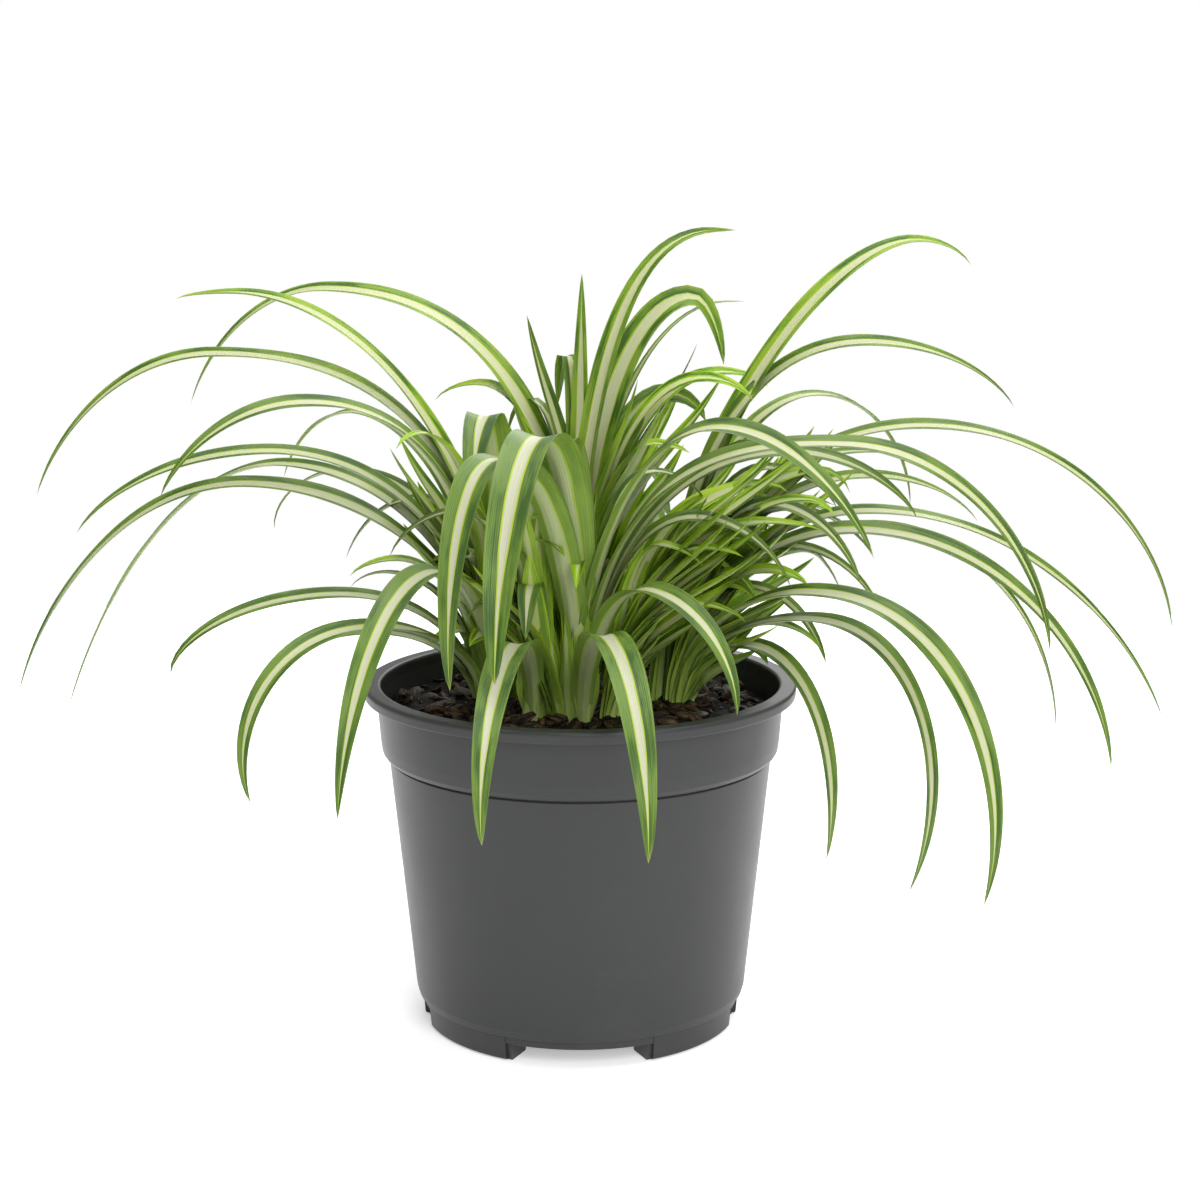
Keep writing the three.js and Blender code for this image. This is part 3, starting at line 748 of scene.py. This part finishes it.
grow_shoot("rosette_left", "left", -24, 6, 11, [
    (177, 80, 221, 97, 219, 10, -18, 0.5, 0, 0.46),
    (181, 85, 203, 139, 161, 10, -18, 0.5, 0, 0.62),
    (203, 62, 191, 103, 166, 10.5, -18, 0.5, 0, 0.58),
    (194, 72, 176, 125, 154, 9.5, -18, 0.5),
    (176, 78, 163, 151, 97, 10, -17, 0.5),
    (158, 74, 166, 158, 81, 8, -14, 0.5, -4),
    (140, 62, 181, 96, 157, 7.5, -10, 0.4),
    (150, 54, 164, 86, 143, 7.5, -10, 0.4, 4),
    (203, 57, 134, 102, 114, 9, -18, 0.5, 5),
    (222, 57, 127, 92, 82, 9.5, -16, 0.5, 12),
    (245, 46, 144, 97, 85, 12, -8, 0.4, 3),
    (172, 36, 136, 47, 131, 5, -10, 0.35),
    (185, 40, 119, 62, 112, 7, -12, 0.4),
    (262, 24, 187, 45, 165, 14, 0, 1),
    (160, 26, 158, 52, 138, 8.5, -12, 0.4),
])

grow_shoot("rosette_right", "right", 26, 6, 11, [
    (12, 77, 236, 95, 228, 11.5, 21, 0.5, 0, 0.34),
    (5, 60, 206, 106, 186, 10, 18, 0.5, 0, 0.56),
    (30, 53, 188, 92, 150, 8, 10, 0.4, 4),
    (350, 78, 183, 150, 124, 9, 15, 0.5, 6),
    (20, 62, 171, 81, 168, 8.5, 16, 0.4),
    (15, 63, 164, 102, 148, 9, 15, 0.4),
    (357, 62, 156, 151, 93, 8.5, 14, 0.5),
    (341, 62, 153, 135, 87, 10.5, 18, 0.5, 6),
    (2, 62, 150, 121, 85, 8.5, 15, 0.5, 7),
    (318, 64, 138, 116, 57, 11, 14, 0.5, 17),
    (326, 54, 128, 84, 51, 9, 12, 0.5, 18),
    (332, 28, 117, 54, 54, 9, 14, 0.5, 8),
    (335, 34, 160, 62, 138, 9, 18, 0.45),
    (350, 38, 146, 66, 124, 8, 16, 0.4),
    (5, 36, 156, 64, 140, 8, 16, 0.4),
    (22, 34, 146, 60, 126, 8, 14, 0.4),
    (342, 26, 134, 50, 112, 8, 18, 0.4),
    (350, 24, 176, 48, 166, 9, 20, 0.45),
    (11, 31, 168, 54, 154, 8, 18, 0.4),
])

grow_shoot("rosette_centre", "centre", 0, 20, 9, [
    (165, 82, 220, 129, 183, 11, -20, 0.5, 0, 0.6),
    (200, 17, 214, 17, 214, 10, -40, 0.5),
    (80, 3, 226, 3, 226, 8, 0, 0.45),
    (5, 34, 219, 44, 198, 13.5, 45, 0.6),
    (12, 46, 217, 52, 217, 6, 10, 0.35),
    (6, 36, 205, 36, 205, 5, 0, 0.4),
    (14, 28, 189, 40, 180, 13, 45, 0.7),
    (120, 8, 201, 14, 185, 12, 0, 0.6),
    (150, 18, 187, 26, 176, 10, 0, 0.6),
])

grow_shoot("rosette_back", "back", 0, 46, 9, [
    (92, 44, 164, 74, 118, 11, 0, 0.45),
    (75, 48, 158, 75, 92, 10, 0, 0.4, 6),
    (108, 46, 160, 74, 98, 10.5, 0, 0.4, 6),
    (62, 38, 150, 62, 96, 9.5, 0, 0.4, 5),
    (122, 36, 152, 60, 100, 9.5, 0, 0.4, 5),
    (85, 36, 138, 60, 70, 9, 0, 0.45, 8),
    (100, 38, 132, 62, 64, 9, 0, 0.45, 8),
    (50, 30, 160, 46, 140, 9, 0, 0.4),
    (132, 30, 158, 48, 136, 9, 0, 0.4),
    (70, 18, 172, 34, 160, 9, 0, 0.4),
    (112, 20, 170, 36, 158, 9, 0, 0.4),
    (30, 24, 150, 40, 132, 8, 0, 0.45),
    (152, 26, 148, 42, 130, 8, 0, 0.45),
])


# The smaller leaves that crowd between the large ones: most of them still point up, every fourth
# has begun to arch.
ARCHED_EVERY = 4
SMALL_FULLNESS = 0.3
OLDEST_SMALL = 0.25


def fill_shoot(node, shoot, x, y, radius, count, bearings, reaches, heights, widths, roll):
    """Small leaves of one shoot, at random within the ranges; the outer ones stand higher."""
    for number in range(1, count + 1):
        share = leaf_random.random()
        risen = min(max(share + leaf_random.gauss(0, 0.25), 0), 1)
        top_reach = reaches[0] + (reaches[1] - reaches[0]) * share
        top_height = heights[0] + (heights[1] - heights[0]) * risen
        arched = number % ARCHED_EVERY == 0
        tip_reach = top_reach + arched * leaf_random.uniform(6, 16)
        tip_height = top_height - arched * leaf_random.uniform(1, 9)
        compass = leaf_random.uniform(*bearings)
        width = leaf_random.uniform(*widths)
        rolled = roll * leaf_random.uniform(0.3, 1.3)
        leaf = (compass, top_reach, top_height, tip_reach, tip_height, width, rolled,
                SMALL_FULLNESS)
        tone = leaf_random.random()
        age = leaf_random.uniform(0.0, OLDEST_SMALL)
        nature = (tone, age, leaf_random.uniform(0, 6.28))
        grow_leaf(f"leaf_{shoot}_small_{number:02d}", node, x, y, radius, leaf, nature)


fill_shoot("rosette_front", "front", 0, -16, 9, 12,
           bearings=(0, 360), reaches=(2, 12), heights=(128, 168), widths=(10, 13), roll=0)
fill_shoot("rosette_front", "front_right", 9, -13, 7, 34,
           bearings=(-35, 30), reaches=(10, 60), heights=(124, 180), widths=(9, 12), roll=20)
fill_shoot("rosette_front", "front_left", -13, -13, 7, 12,
           bearings=(60, 300), reaches=(2, 12), heights=(122, 164), widths=(10, 13), roll=0)
fill_shoot("rosette_front", "fan_left", -4, -17, 8, 12,
           bearings=(150, 200), reaches=(12, 34), heights=(116, 150), widths=(9, 12), roll=-12)
fill_shoot("rosette_front", "fan_right", 6, -17, 8, 14,
           bearings=(-20, 25), reaches=(12, 44), heights=(116, 156), widths=(9, 12), roll=12)
fill_shoot("rosette_left", "left", -24, 6, 11, 24,
           bearings=(110, 250), reaches=(8, 40), heights=(120, 184), widths=(9, 12), roll=-15)
fill_shoot("rosette_right", "right", 26, 6, 11, 44,
           bearings=(-40, 45), reaches=(12, 58), heights=(122, 180), widths=(9, 12), roll=20)
fill_shoot("rosette_right", "right_low", 32, 2, 5, 14,
           bearings=(-40, 40), reaches=(14, 40), heights=(112, 142), widths=(8, 11), roll=15)
fill_shoot("rosette_centre", "centre", 0, 20, 9, 26,
           bearings=(-50, 60), reaches=(6, 44), heights=(126, 196), widths=(10, 13), roll=25)
fill_shoot("rosette_centre", "centre_left", 0, 20, 9, 14,
           bearings=(120, 240), reaches=(4, 36), heights=(126, 192), widths=(10, 13), roll=-15)
fill_shoot("rosette_back", "back", 0, 46, 9, 14,
           bearings=(10, 170), reaches=(6, 30), heights=(112, 168), widths=(8, 11), roll=0)


# ---- the studio ---------------------------------------------------------------------------
# A plain white round floor and background, with one large soft lamp overhead, one to the front
# right and a weak one behind.

FLOOR_RADIUS = 0.7
LIT_PLACE = Vector((0, 0, 0.12))
WORLD_LIGHT = 0.5

sheet = bmesh.new()
bmesh.ops.create_circle(sheet, cap_ends=True, segments=96, radius=FLOOR_RADIUS)
floor_white, _, _ = new_finish("floor_white", Base_Color=(0.9, 0.9, 0.9, 1), Roughness=0.9,
                               Emission_Color=(1, 1, 1, 1), Emission_Strength=0.4)
floor = made("floor", sheet, floor_white)


def soft_lamp(name, place, size, watts):
    """A square lamp that faces the middle of the plant."""
    data = bpy.data.lights.new(name, "AREA")
    data.shape = "SQUARE"
    data.size = size
    data.energy = watts
    lamp = bpy.data.objects.new(name, data)
    lamp.location = place
    lamp.rotation_euler = (LIT_PLACE - Vector(place)).to_track_quat("-Z", "Y").to_euler()
    bpy.context.scene.collection.objects.link(lamp)


soft_lamp("top_lamp", place=(0.15, 0.1, 1.4), size=1.2, watts=18)
soft_lamp("key_lamp", place=(0.5, -1.35, 0.95), size=0.9, watts=18)
soft_lamp("back_lamp", place=(0.3, 1.3, 0.9), size=0.8, watts=6)

# The background is white to the camera and lights the plant more dimly.
world = bpy.data.worlds.new("studio")
world.use_nodes = True
world_tree = world.node_tree
backdrop = world_tree.nodes["Background"]
backdrop.inputs["Color"].default_value = (1, 1, 1, 1)
seen_directly = add_node(world_tree, "ShaderNodeLightPath").outputs["Is Camera Ray"]
strength = stepped(world_tree, seen_directly, 0.0, 1.0, WORLD_LIGHT, 1.0)
world_tree.links.new(strength, backdrop.inputs["Strength"])
bpy.context.scene.world = world
bpy.context.scene.view_settings.view_transform = "Standard"
